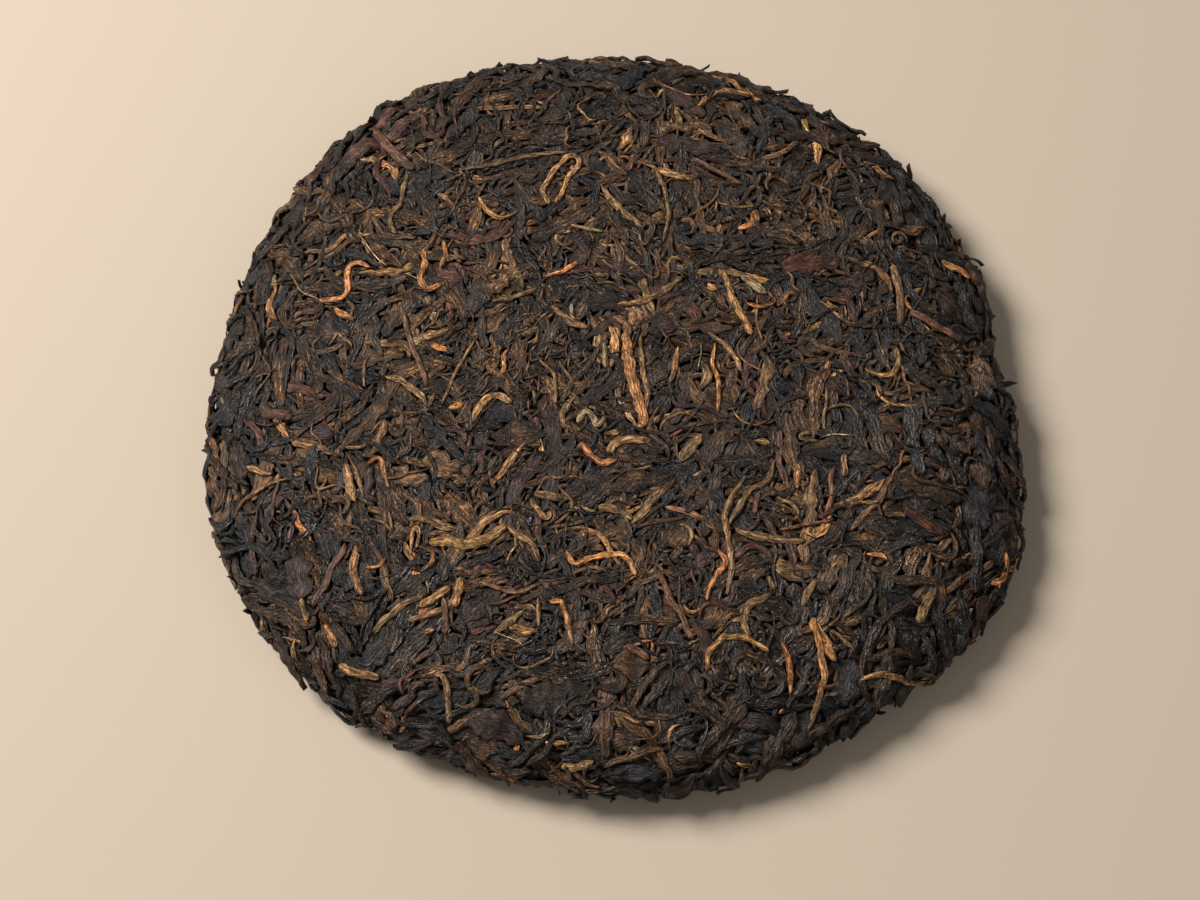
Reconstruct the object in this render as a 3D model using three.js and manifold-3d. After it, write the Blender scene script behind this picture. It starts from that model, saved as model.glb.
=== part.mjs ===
// A compressed pu erh tea cake: a low domed disc of pressed leaf with a rounded, ragged rim and a thumb-sized
// dimple under its middle. Millimetres, +Z up, origin under the middle of the cake on the surface it lies on.
// The cake is one solid: a bumpy core with the larger leaves, stems and buds fused on at true size.
import * as THREE from 'three';
import { mergeVertices } from 'three/addons/utils/BufferGeometryUtils.js';
import Module from 'manifold-3d';

// Driving dimensions of the pressed form
const CAKE_RADIUS = 99.5;
const CENTRE_HEIGHT = 22.5;
const RIM_HEIGHT = 7; // height of the widest line above the table
const DOME_POWER = 4; // a higher power gives a flatter top and a tighter shoulder
const FOOT_RADIUS = 88;
const DIMPLE_RADIUS = 27;
const DIMPLE_DEPTH = 9.5;

// Uneven plan: each lobe grows the radius by a share of it, around an angle in degrees
const LOBES = [
  { at: 123, grows: 0.038, spread: 13 },
  { at: 8, grows: -0.045, spread: 7 },
  { at: 29, grows: -0.018, spread: 4 },
  { at: 350, grows: -0.012, spread: 5 },
  { at: 171, grows: -0.026, spread: 15 },
  { at: 207, grows: 0.018, spread: 20 },
  { at: 256, grows: -0.018, spread: 8 },
  { at: 331, grows: 0.052, spread: 12 },
];

// Brings the middle of the uneven plan's box over the origin
const PLAN_SHIFT = [0.08, -0.33];

// How far the core lies inside the pressed form, and how the leaves stand on it
const CORE_INSET = 0.9;
const CORE_BUMP = 0.35;
const LEAF_ROOT = 1.1; // how deep a leaf is sunk into the core
const LEAF_SHOULDER = 0.6; // share of a leaf's width that is flat on top
const LEAF_TIP_WIDTH = 0.4; // share of the width left at each end
const LEAF_STEP = 6; // length of one straight stretch of a leaf
const RIM_LIFT = 2.2; // how far a loose end may stand off the rim

// Mesh fineness of the core
const CORE_SEGMENTS = 40;
const FACE_RING_STEP = 12;
const RIM_RING_STEP = 4.4;
const DIMPLE_RING_STEP = 6;
const MERGE_WITHIN = 0.08; // corners closer than this to a straight run are dropped

// Leaves that stand out in the face: [x, y, heading, length, width, bend], in mm and degrees.
// x and y are where a leaf begins on the face, and bend is how far it turns to the left along its length.
const TIPS = [
  [-72, 22, 30, 20, 1.9, 0],
  [-68, 19, -30, 7, 1.8, 0],
  [-37, 57, 16, 27, 1.5, -6],
  [-8, 61, -125, 16, 3, -60],
  [-32, 49, -70, 26, 1.6, 130],
  [-10, 41, -13, 8, 1.3, 0],
  [-49, 50, -120, 14, 1.7, 20],
  [8, 60, -50, 26, 2, -60],
  [11, 58, -28, 10, 2.2, 20],
  [83, 36, -20, 10, 2, -40],
  [27, 28, -85, 19, 2.2, 25],
  [31, 27, -38, 8, 2.2, 0],
  [1, 19, -5, 18, 1.8, 40],
  [62, 8, -80, 19, 1.9, 150],
  [-32, -12, 80, 13, 1.8, -90],
  [-7, -18, -50, 10, 1.6, 45],
  [-2, -20, 60, 13, 1.7, -65],
  [-57, -23, 50, 11, 1.5, -130],
  [-62, -22, -73, 10, 2.2, 0],
  [-86, -21, -30, 7, 1.6, 20],
  [-54, 0, -10, 14, 1.8, -60],
  [-42, -43, 8, 19, 2.4, 12],
  [-25, -38, -40, 13, 1.5, -10],
  [-60, -42, -95, 14, 2.3, 30],
  [-43, -57, 35, 8, 1.9, 0],
  [-35, -51, -98, 8, 1.9, 0],
  [-54, -63, 55, 14, 1.8, -40],
  [-62, -70, -38, 10, 2.4, 25],
  [-11, -45, -60, 16, 1.7, 90],
  [3, 15, -88, 29, 2.4, 12],
  [30, -24, -125, 13, 1.6, 25],
  [25, -45, -95, 13, 1.9, -30],
  [73, -50, -103, 11, 3, -15],
  [28, -39, -28, 16, 2.2, 40],
  [24, -65, 12, 13, 1.7, -45],
  [46, -66, -65, 21, 1.5, -40],
  [38, -66, -60, 12, 1.5, -45],
  [92, -41, -70, 11, 1.6, -75],
  [-12, -96, 8, 8, 2.2, 20],
  [-2, -95, 30, 15, 1.7, -25],
  [45, -60, -70, 11, 2.6, 20],
  [-3, -46, 0, 13, 1.6, -65],
];
const STEMS = [
  [-51, 19, -73, 23, 1.5, 4],
  [20, 61, -32, 14, 1.5, 0],
  [-59, 72, -55, 18, 2.6, 6],
  [73, 19, -22, 16, 2.2, 0],
  [69, 32, -84, 17, 2.3, 0],
  [-40, -73, -60, 14, 1.5, -30],
  [3, -67, -31, 6, 2, 0],
  [38, -39, 15, 12, 1, 0],
];
const BROAD_LEAVES = [
  [41, 30, 10, 15, 5.5, 0],
  [14, 85, -49, 14, 4.5, 0],
  [66, -32, -40, 10, 3, 10],
  [-72, -44, -85, 10, 6.5, 0],
  [-71, -14, -3, 6, 4, 0],
  [82, -51, -50, 7, 5, 0],
  [-33, -83, -31, 14, 7, 0],
  [-21, -80, 5, 17, 8, 0],
];

// Dark leaves between them, spread evenly by rule
const FACE_LEAVES = 24;
const RIM_LEAVES = 34;
const FOOT_LEAVES = 22;
const SEED = 357;
const GOLDEN_ANGLE = Math.PI * (3 - Math.sqrt(5));

const radians = THREE.MathUtils.degToRad;

// The next number of a seeded row of draws, each from 0 to 1
function seededDraw(seed) {
  let state = seed >>> 0;
  return () => {
    state = (state + 0x6d2b79f5) >>> 0;
    let mixed = Math.imul(state ^ (state >>> 15), state | 1);
    mixed ^= mixed + Math.imul(mixed ^ (mixed >>> 7), mixed | 61);
    return ((mixed ^ (mixed >>> 14)) >>> 0) / 2 ** 32;
  };
}

// Half section of the pressed form, from the top's middle, over the rim, to the dimple's middle
function sectionPoints() {
  const points = [];
  const fine = 240;
  for (let i = 0; i <= fine; i++) {
    const turn = (Math.PI / 2) * (i / fine) ** 1.5;
    points.push([
      CAKE_RADIUS * Math.sin(turn) ** (2 / DOME_POWER),
      RIM_HEIGHT + (CENTRE_HEIGHT - RIM_HEIGHT) * Math.cos(turn),
    ]);
  }
  for (let i = 1; i <= fine / 4; i++) {
    const turn = (Math.PI / 2) * (i / (fine / 4));
    points.push([
      FOOT_RADIUS + (CAKE_RADIUS - FOOT_RADIUS) * Math.cos(turn),
      RIM_HEIGHT * (1 - Math.sin(turn)),
    ]);
  }
  for (let i = 1; i <= fine; i++) {
    const radius = FOOT_RADIUS * (1 - i / fine);
    const inward = Math.max(0, 1 - radius / DIMPLE_RADIUS);
    points.push([radius, DIMPLE_DEPTH * Math.sin((Math.PI / 2) * inward) ** 2]);
  }
  return points;
}

const SECTION = sectionPoints();
const TRAVEL = SECTION.reduce((sums, [radius, height], i) => {
  const step = i ? Math.hypot(radius - SECTION[i - 1][0], height - SECTION[i - 1][1]) : 0;
  return [...sums, (sums.at(-1) ?? 0) + step];
}, []);
const TRAVEL_END = TRAVEL.at(-1);

// Point and outward direction of the half section at a distance along it
function alongSection(travel) {
  const at = THREE.MathUtils.clamp(travel, 0, TRAVEL_END);
  const next = Math.max(1, TRAVEL.findIndex((sum) => sum >= at));
  const [r0, z0] = SECTION[next - 1];
  const [r1, z1] = SECTION[next];
  const share = (at - TRAVEL[next - 1]) / (TRAVEL[next] - TRAVEL[next - 1]);
  const length = TRAVEL[next] - TRAVEL[next - 1];
  return {
    radius: r0 + (r1 - r0) * share,
    height: z0 + (z1 - z0) * share,
    outX: (z0 - z1) / length,
    outZ: (r1 - r0) / length,
  };
}

function travelWhere(test) {
  return TRAVEL[SECTION.findIndex(test)];
}
const SHOULDER = travelWhere(([radius]) => radius > FOOT_RADIUS);
const WIDEST = travelWhere(([radius], i) => SECTION[i + 1][0] < radius);
const FOOT = travelWhere(([radius], i) => TRAVEL[i] > WIDEST && radius <= FOOT_RADIUS);
const DIMPLE_EDGE = travelWhere(([radius], i) => TRAVEL[i] > WIDEST && radius <= DIMPLE_RADIUS);

// The plan's radius at an angle, as a share of the cake's radius
function planShare(angle) {
  return LOBES.reduce((share, { at, grows, spread }) => {
    const away = Math.atan2(Math.sin(angle - radians(at)), Math.cos(angle - radians(at)));
    return share + grows * Math.exp(-0.5 * (away / radians(spread)) ** 2);
  }, 1);
}

// A point of the skin, lifted off the pressed form. The face and the foot are each laid out flat:
// x and y are there a distance and a direction from the middle of the top or of the underside.
function onSkin(side, x, y, lift) {
  const away = Math.hypot(x, y);
  const angle = Math.atan2(y, x);
  const skin = alongSection(side === 'face' ? away : TRAVEL_END - away);
  const share = 1 + (planShare(angle) - 1) * (skin.radius / CAKE_RADIUS) ** 2;
  const radius = skin.radius * share + skin.outX * lift;
  return new THREE.Vector3(
    radius * Math.cos(angle) + PLAN_SHIFT[0],
    radius * Math.sin(angle) + PLAN_SHIFT[1],
    skin.height + skin.outZ * lift,
  );
}

// Leaf-sized unevenness of the core, from -1 to 1
function bumps(x, y) {
  const wave = (turn, size, shift) =>
    Math.sin((x * Math.cos(turn) + y * Math.sin(turn)) / size + shift);
  return (wave(0.4, 2.9, 1) + wave(1.7, 3.7, 2) + wave(2.6, 2.3, 4) + wave(5.1, 4.6, 0)) / 4;
}

function solidFrom(points, triangles) {
  return new wasm.Manifold(new wasm.Mesh({
    numProp: 3,
    vertProperties: new Float32Array(points.flatMap((p) => p.toArray())),
    triVerts: new Uint32Array(triangles.flat()),
  }));
}

function solidFromGeometry(geometry) {
  const bare = geometry.clone();
  bare.deleteAttribute('normal');
  bare.deleteAttribute('uv');
  const merged = mergeVertices(bare);
  return new wasm.Manifold(new wasm.Mesh({
    numProp: 3,
    vertProperties: merged.attributes.position.array,
    triVerts: new Uint32Array(merged.index.array),
  }));
}

function evenSteps(from, to, step) {
  const count = Math.round((to - from) / step);
  return Array.from({ length: count }, (_, i) => from + ((to - from) * i) / count);
}

// The core: rings from the top's middle to the dimple's middle, closed by a point at each end
function coreSolid() {
  const rings = [
    ...evenSteps(0, SHOULDER, FACE_RING_STEP).slice(1),
    ...evenSteps(SHOULDER, FOOT, RIM_RING_STEP),
    ...evenSteps(FOOT, DIMPLE_EDGE, FACE_RING_STEP),
    ...evenSteps(DIMPLE_EDGE, TRAVEL_END, DIMPLE_RING_STEP),
  ];
  const points = [onSkin('face', 0, 0, -CORE_INSET)];
  rings.forEach((travel, row) => {
    for (let i = 0; i < CORE_SEGMENTS; i++) {
      const angle = (2 * Math.PI * (i + (row % 2) / 2)) / CORE_SEGMENTS;
      const [x, y] = [travel * Math.cos(angle), travel * Math.sin(angle)];
      points.push(onSkin('face', x, y, -CORE_INSET + CORE_BUMP * bumps(x, y)));
    }
  });
  const last = points.push(onSkin('foot', 0, 0, -CORE_INSET)) - 1;
  const at = (row, i) => 1 + row * CORE_SEGMENTS + (i % CORE_SEGMENTS);
  const triangles = [];
  for (let i = 0; i < CORE_SEGMENTS; i++) {
    triangles.push([0, at(0, i), at(0, i + 1)]);
    triangles.push([last, at(rings.length - 1, i + 1), at(rings.length - 1, i)]);
    for (let row = 0; row + 1 < rings.length; row++) {
      const [a, b] = [at(row, i), at(row, i + 1)];
      const [c, d] = [at(row + 1, i), at(row + 1, i + 1)];
      triangles.push(...(row % 2 ? [[a, d, b], [a, c, d]] : [[a, c, b], [b, c, d]]));
    }
  }
  return solidFrom(points, triangles);
}

// A leaf: a bent strip with sloping flanks that follows the skin, sunk into the core.
// proud is how far its top stands over the core, and lift raises its far end off the rim.
function leafSolid(side, [x, y, heading, length, width, bend], proud, lift = 0) {
  const steps = Math.max(3, Math.round(length / LEAF_STEP));
  const points = [];
  let [atX, atY] = [x, y];
  for (let i = 0; i <= steps; i++) {
    const share = i / steps;
    const turn = radians(heading + bend * share);
    const [alongX, alongY] = [Math.cos(turn), Math.sin(turn)];
    const belly = LEAF_TIP_WIDTH + (1 - LEAF_TIP_WIDTH) * Math.sin(Math.PI * share) ** 0.5;
    const half = (width / 2) * belly;
    const top = proud * (0.7 + 0.3 * belly) - CORE_INSET + lift * share ** 2;
    const corners = [
      [half, -CORE_INSET - LEAF_ROOT],
      [half * LEAF_SHOULDER, top],
      [-half * LEAF_SHOULDER, top],
      [-half, -CORE_INSET - LEAF_ROOT],
    ];
    corners.forEach(([aside, height]) => {
      points.push(onSkin(side, atX - alongY * aside, atY + alongX * aside, height));
    });
    atX += (alongX * length) / steps;
    atY += (alongY * length) / steps;
  }
  const triangles = [[0, 1, 2], [0, 2, 3]];
  for (let i = 0; i < steps; i++) {
    for (let k = 0; k < 4; k++) {
      const [a, b] = [4 * i + k, 4 * i + ((k + 1) % 4)];
      triangles.push([a, a + 4, b], [b, a + 4, b + 4]);
    }
  }
  const end = 4 * steps;
  triangles.push([end, end + 2, end + 1], [end, end + 3, end + 2]);
  const solid = solidFrom(points, triangles);
  return solid.volume() > 0 ? solid : solidFrom(points, triangles.map(([a, b, c]) => [a, c, b]));
}

// Leaves that begin on evenly spread places of a round area between two distances from its middle
function evenLeaves(side, count, inner, outer, draw) {
  return Array.from({ length: count }, (_, i) => {
    const away = Math.sqrt(inner ** 2 + (outer ** 2 - inner ** 2) * ((i + 0.5) / count));
    const angle = i * GOLDEN_ANGLE;
    const [heading, length] = [360 * draw(), 12 + 12 * draw()];
    const [width, bend] = [2.6 + 2.2 * draw(), 90 * (draw() - 0.5)];
    const [backX, backY] = [Math.cos(radians(heading)), Math.sin(radians(heading))];
    const x = away * Math.cos(angle) - (backX * length) / 2;
    const y = away * Math.sin(angle) - (backY * length) / 2;
    return leafSolid(side, [x, y, heading, length, width, bend], 0.75 + 0.3 * draw());
  });
}

// Leaves round the rim, laid mostly along it, some with a loose end that stands off
function rimLeaves(draw) {
  return Array.from({ length: RIM_LEAVES }, (_, i) => {
    const angle = (360 * (i + 0.6 * draw())) / RIM_LEAVES;
    const travel = SHOULDER + (FOOT - SHOULDER) * (0.12 + 0.62 * ((i * 0.618) % 1));
    const heading = angle + 90 + 110 * (draw() - 0.5);
    const [length, width] = [10 + 10 * draw(), 2.4 + 1.8 * draw()];
    const lift = RIM_LIFT * Math.max(0, draw() - 0.35);
    const [x, y] = [travel * Math.cos(radians(angle)), travel * Math.sin(radians(angle))];
    return leafSolid('face', [x, y, heading, length, width, 60 * (draw() - 0.5)], 0.9, lift);
  });
}

// One body without sealed hollows or loose scraps: the largest shell
function largestShell(solid) {
  return solid.decompose().reduce((a, b) => (a.volume() > b.volume() ? a : b));
}

function cakeSolid() {
  const draw = seededDraw(SEED);
  const named = [...TIPS, ...STEMS, ...BROAD_LEAVES];
  const leaves = [
    ...named.map((leaf) => leafSolid('face', leaf, 0.95)),
    ...evenLeaves('face', FACE_LEAVES, 0, SHOULDER - 6, draw),
    ...rimLeaves(draw),
    ...evenLeaves('foot', FOOT_LEAVES, DIMPLE_RADIUS + 5, FOOT_RADIUS - 6, draw),
  ];
  const joined = leaves.reduce((cake, leaf) => cake.add(leaf), coreSolid());
  const table = new THREE.BoxGeometry(4 * CAKE_RADIUS, 4 * CAKE_RADIUS, CENTRE_HEIGHT);
  table.translate(0, 0, -CENTRE_HEIGHT / 2);
  return largestShell(joined.subtract(solidFromGeometry(table))).simplify(MERGE_WITHIN);
}

function geometryOf(solid) {
  const { numProp, vertProperties, triVerts } = solid.getMesh();
  const position = new THREE.BufferAttribute(new Float32Array(vertProperties), numProp);
  return new THREE.BufferGeometry()
    .setAttribute('position', position)
    .setIndex(new THREE.BufferAttribute(new Uint32Array(triVerts), 1));
}

const wasm = await Module();
wasm.setup();

const tea = new THREE.MeshStandardMaterial({ color: 0x2b221d, roughness: 0.7, metalness: 0 });
const cake = new THREE.Mesh(geometryOf(cakeSolid()), tea);
cake.name = 'tea_cake';

const root = new THREE.Group();
root.add(cake);
export default root;
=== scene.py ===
"""A compressed pu erh tea cake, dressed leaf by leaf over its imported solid.

Every leaf, stem and bud is a closed surface at true size. The leaves are laid from the pressed face
inwards: each new one slides under those that are already there, as in a cake pressed against a mould.
Lengths are in millimetres until a mesh is made. Headings, bends and the angles of named values are in
degrees.
"""

import math
from dataclasses import dataclass

import bpy
import numpy as np
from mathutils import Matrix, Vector


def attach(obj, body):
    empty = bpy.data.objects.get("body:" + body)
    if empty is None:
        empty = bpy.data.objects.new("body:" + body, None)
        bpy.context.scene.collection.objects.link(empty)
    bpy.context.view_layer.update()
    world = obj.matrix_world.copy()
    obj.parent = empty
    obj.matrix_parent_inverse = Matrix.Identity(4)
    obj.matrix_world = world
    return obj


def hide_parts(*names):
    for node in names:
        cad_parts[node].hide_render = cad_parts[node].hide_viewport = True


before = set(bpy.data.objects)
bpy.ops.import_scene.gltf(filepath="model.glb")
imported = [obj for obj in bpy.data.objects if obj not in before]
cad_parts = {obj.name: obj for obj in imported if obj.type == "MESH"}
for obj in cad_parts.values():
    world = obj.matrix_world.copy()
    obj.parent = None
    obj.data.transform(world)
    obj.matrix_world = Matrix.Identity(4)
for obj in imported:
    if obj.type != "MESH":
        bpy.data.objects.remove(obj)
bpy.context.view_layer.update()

MM = 0.001
SEED = 357

# The pressed form, with the same named sizes as the solid
CAKE_RADIUS = 99.5
CENTRE_HEIGHT = 22.5
RIM_HEIGHT = 7
DOME_POWER = 4
FOOT_RADIUS = 88
DIMPLE_RADIUS = 27
DIMPLE_DEPTH = 9.5
LOBES = (
    (123, 0.038, 13),
    (8, -0.045, 7),
    (29, -0.018, 4),
    (350, -0.012, 5),
    (171, -0.026, 15),
    (207, 0.018, 20),
    (256, -0.018, 8),
    (331, 0.052, 12),
)
PLAN_SHIFT = (0.08, -0.33)
FACE_LEAVES = 24
RIM_LEAVES = 34
FOOT_LEAVES = 22
CORE_DEPTH = 2.5

# Colours of dry leaf, as red, green and blue from 0 to 255
INK = ((28, 23, 18), (34, 27, 21), (24, 20, 16), (24, 24, 24), (20, 18, 16), (38, 30, 22))
# Bluish-black tones, partly the leaves' own colour and partly painted sheen: a bluish reflection
# painted into black leaves
SLATE_AND_SHEEN = ((32, 37, 39), (28, 34, 40), (39, 43, 44), (30, 36, 44), (24, 29, 32))
UMBER = ((62, 44, 30), (72, 50, 33), (54, 40, 30), (84, 58, 36))
BROWN = ((98, 68, 42), (112, 78, 47), (86, 60, 39))
RUSSET = ((82, 46, 36), (70, 42, 36), (92, 54, 38))
PURPLE = ((60, 41, 39), (54, 39, 39))
TAN = ((130, 97, 63), (150, 114, 75), (112, 83, 56))
GOLD = ((176, 128, 77), (194, 139, 82), (156, 111, 67), (178, 134, 91))
ORANGE = ((214, 144, 85), (192, 122, 69))
PALE = ((186, 160, 118), (172, 146, 104))
STEM = ((116, 80, 58), (102, 70, 54), (130, 92, 64))

# Bent tips and folded leaves: width, colour, and the points that each one follows
BENT_TIPS = (
    (1.5, ORANGE, (
        (-71.6, 22.1), (-65.7, 22.2), (-64.2, 24.9), (-65.1, 28.4), (-63.8, 32), (-61.8, 31.9),
        (-58.8, 30.3)
    )),
    (1.7, ORANGE, ((-67.8, 19.5), (-65.5, 17.7), (-62.5, 15.9))),
    (1.3, GOLD, (
        (-15.4, 47), (-17.1, 50.9), (-14.7, 56.5), (-10.6, 61.6), (-8.3, 61.3), (-8.1, 58.5),
        (-11, 55), (-12, 50.8), (-13.9, 47.3)
    )),
    (1.2, GOLD, ((-32.3, 49), (-30.3, 44.9), (-26.8, 42.8), (-22.7, 44.8))),
    (1.3, TAN, ((-49.9, 56.5), (-51.5, 47.7), (-53.9, 45.1), (-54.2, 42.5), (-52.6, 39.2))),
    (1.4, ORANGE, ((-45.9, 34.9), (-45.2, 30.1), (-46.8, 26.7), (-44.5, 23.3), (-41.2, 24.7))),
    (2.5, ORANGE, ((3.3, 11.7), (3.5, 5.8), (4.7, -1.1), (6.5, -8.2), (7.6, -13.2))),
    (1.4, TAN, ((6.6, 10.6), (7, 2.3), (8.4, -4), (7.9, -9))),
    (1.6, ORANGE, ((-7.1, -17.8), (-5.2, -20.9), (-2.2, -22.9), (1, -21.9))),
    (1.9, GOLD, ((-1.3, -20.1), (0.4, -17.6), (3.6, -16.5), (8.8, -17))),
    (1.7, GOLD, ((-32.6, -12.1), (-31.7, -8.4), (-29, -5.3), (-26.2, -5.3), (-23.6, -7.2))),
    (2.6, GOLD, ((-42, -42.1), (-38.1, -41.7), (-33.8, -42.7), (-29.4, -41.8), (-24.4, -38.2))),
    (1.4, TAN, ((-24.4, -37.9), (-21.7, -40.7), (-18.4, -42.9), (-16.8, -47.3))),
    (1.2, ORANGE, ((-56.6, -22.4), (-55.2, -20.7), (-53.6, -21), (-52.5, -25.8), (-51.5, -28.4))),
    (1.5, ORANGE, (
        (-10.6, -44.9), (-9, -48.3), (-3.6, -45.9), (1.4, -45.4), (3.9, -47.1), (5.1, -50.7)
    )),
    (1.4, GOLD, ((60.6, 2.6), (63.8, 0.6), (67.5, 1.3), (69.6, 4.6), (69.1, 8.6))),
    (2.1, GOLD, ((68.4, -58.8), (69.5, -54.9), (71.8, -50.1))),
    (1.4, GOLD, ((21.1, -72.9), (21.3, -68.8), (24.6, -65.1), (29.7, -64.8), (35.1, -68.1))),
    (1.5, ORANGE, ((45.3, -59.8), (46.9, -67.7), (47.9, -72.9), (46.5, -79.2), (44.7, -85.7))),
    (1.4, GOLD, (
        (30.7, -25.9), (27.1, -31.2), (25.6, -36.2), (26.4, -42.3), (27.2, -47.7), (25.9, -54.9)
    )),
    (1.9, ORANGE, ((82.1, 35.4), (85.8, 33.8), (89.8, 31.6))),
    (1.8, GOLD, ((-58.6, -42.3), (-59.1, -48.7), (-56.8, -54))),
    (2, GOLD, ((-62.2, -69.7), (-58.9, -71.7), (-53.1, -73.2))),
    (1.9, GOLD, ((-43.9, -57.3), (-39.9, -55.1), (-36.9, -52.8))),
    (2, GOLD, ((-34.7, -50.7), (-35.7, -57.8))),
    (1.3, TAN, ((-40.2, -73.7), (-38.6, -72.9), (-37.4, -76.9), (-37.3, -84.9))),
    (1.3, ORANGE, ((-14.4, -57.3), (-11.7, -56.9), (-10.3, -61.6), (-9.2, -67.6))),
    (1.1, TAN, ((7.2, 59.7), (10.7, 58.3), (13.1, 51.4), (14, 44.1), (12.4, 36.4))),
    (1.7, GOLD, ((1.2, 19), (6.7, 19.8), (12, 22.5), (16.9, 26.7))),
    (1.7, GOLD, ((27, 27.6), (28.8, 20.9), (31.5, 15), (33.3, 10.9))),
    (1.4, ORANGE, ((89.7, -39.8), (90.3, -43.6), (87.8, -46.1), (84.6, -47.7))),
    (1.8, GOLD, ((3.3, 9.5), (3.7, 12.2), (3.1, 14.6), (0.1, 15.7))),
    (1.6, PALE, ((-8.3, -12.4), (-6.4, -9.1), (-4.5, -10.6), (-4, -13.2), (-1.8, -11.5))),
    (1.4, PALE, ((-2.1, 8.4), (-1.8, 5.8), (-1.6, 2))),
    (0.9, TAN, ((-12.7, 3.6), (-11.3, 1.5), (-9.1, -1.8))),
    (1.0, TAN, ((-17.3, 4.2), (-13.5, 0.3), (-13.4, -7.6))),
    (1.6, TAN, ((-14.5, 18.5), (-12, 16.3), (-10.3, 14.4), (-5.7, 12.8))),
    (0.9, PALE, ((-9.8, 19.1), (-9.5, 16), (-8.1, 13.8))),
    (1.4, ORANGE, ((15.6, 7.6), (14.4, 0.3), (13.6, -1.6))),
    (1.1, ORANGE, ((-24.7, 7), (-26.1, 6.1), (-25.5, 3.3), (-26, 0.6))),
    (1.4, TAN, ((22.8, 11.5), (27, 8.1), (29.8, 3.8), (30.6, 0.9))),
    (1.0, ORANGE, ((24.4, 8.6), (23.6, 2.8), (25.1, -1), (24.7, -9.5))),
    (1.5, ORANGE, ((23, 24.7), (24, 23.9), (25.2, 23.2))),
    (1.0, ORANGE, ((32.4, 19.4), (35.8, 18.4), (38.9, 19.7))),
    (1.8, RUSSET, ((32.9, 5.7), (35.5, 7.7), (36.8, 9.6))),
    (2.4, TAN, ((15.7, -22.4), (18, -18.8), (20.6, -16))),
    (1.2, GOLD, ((33.4, -29.9), (32.8, -32.7), (32.6, -35.2))),
    (1.3, GOLD, ((-18.9, -31.6), (-16.6, -35.7), (-15, -37), (-14.3, -34.9))),
    (1.8, TAN, ((-3.4, -33.8), (2, -34.7), (4.5, -37))),
    (1.8, ORANGE, ((-38.4, -8.5), (-36.7, -7.9), (-35, -7.6))),
    (0.9, TAN, ((-32.9, 9.6), (-37.2, 1.1), (-40.1, -7.5))),
    (1.3, TAN, ((-18.1, 23.2), (-22.8, 21.3), (-28.8, 19.9))),
    (1.2, ORANGE, ((-15.9, 26.7), (-11.6, 28.2), (-8.1, 30.7))),
    (1.2, ORANGE, ((-41, 37.1), (-40, 33.4), (-41.6, 29.4))),
    (1.5, ORANGE, ((-43.5, 8.7), (-40.5, 7.2), (-39.2, 6.7))),
    (1.4, TAN, ((37.2, -21.8), (35.7, -27.1), (31.5, -29.2), (28.8, -34.2), (26.1, -38.4))),
    (1.3, ORANGE, ((24, -44.2), (25.9, -47.3), (23.9, -50), (21.6, -54), (21.3, -56.4))),
    (0.8, ORANGE, ((43.2, -38.8), (44.8, -39.9), (46.3, -40.8))),
    (1.5, ORANGE, ((42.5, -24.2), (42.1, -26.5), (42.2, -28.8))),
    (1.0, GOLD, ((56.1, -31.4), (58.1, -31.4), (60, -31.1))),
    (1.1, ORANGE, ((57, -43.8), (60.5, -43.8), (61.4, -45))),
    (1.0, TAN, ((46.2, -14.6), (43, -15.1), (44.3, -16.7), (47.5, -16.6))),
    (1.4, TAN, ((53.3, -19.7), (53.1, -22.5), (52.7, -25.4))),
    (1.0, GOLD, ((35.4, -50.5), (35.9, -52.1), (36.6, -53.8))),
    (1.5, TAN, ((46, -51.1), (43.9, -54), (42.9, -57.3))),
    (1.2, STEM, ((61.2, -34.2), (63.6, -33.8), (66.1, -33.9))),
    (0.9, TAN, ((-51.3, -34.5), (-50.9, -36.5), (-50.4, -38.6))),
    (0.8, TAN, ((-55.5, -36), (-52.6, -36.7), (-50.4, -39.4))),
    (0.9, ORANGE, ((-46, -45.1), (-45.8, -39.1), (-44.7, -37.9), (-44.1, -39.9), (-44.9, -43.5))),
    (1.2, ORANGE, ((-41.1, -44), (-40.7, -46.8), (-43.6, -49.2))),
    (1.6, TAN, ((-27.1, -64.6), (-23.6, -61.9), (-20.1, -59))),
    (1.1, TAN, ((-17.1, -56.3), (-16.9, -59.7), (-17, -63.2))),
    (2.0, STEM, ((-18.2, -30.3), (-15.1, -30.8), (-11.6, -31.8))),
    (0.9, ORANGE, ((-56.3, -47.5), (-53.2, -47.7), (-51.7, -45.7))),
    (1.5, TAN, ((-70.7, -53.9), (-70.3, -56.4), (-69.4, -59.2))),
    (1.7, ORANGE, ((-65.5, -60.2), (-64.5, -62.5), (-62.8, -65.5))),
    (1.2, GOLD, ((-42.9, -63.1), (-41.7, -63.4), (-40.3, -62.8))),
    (1.0, TAN, ((-62.1, -17.9), (-59.8, -18.3), (-57.4, -17.7))),
    (1.2, STEM, ((-29.6, -52.2), (-22, -55), (-16.4, -52.7))),
)
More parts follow.
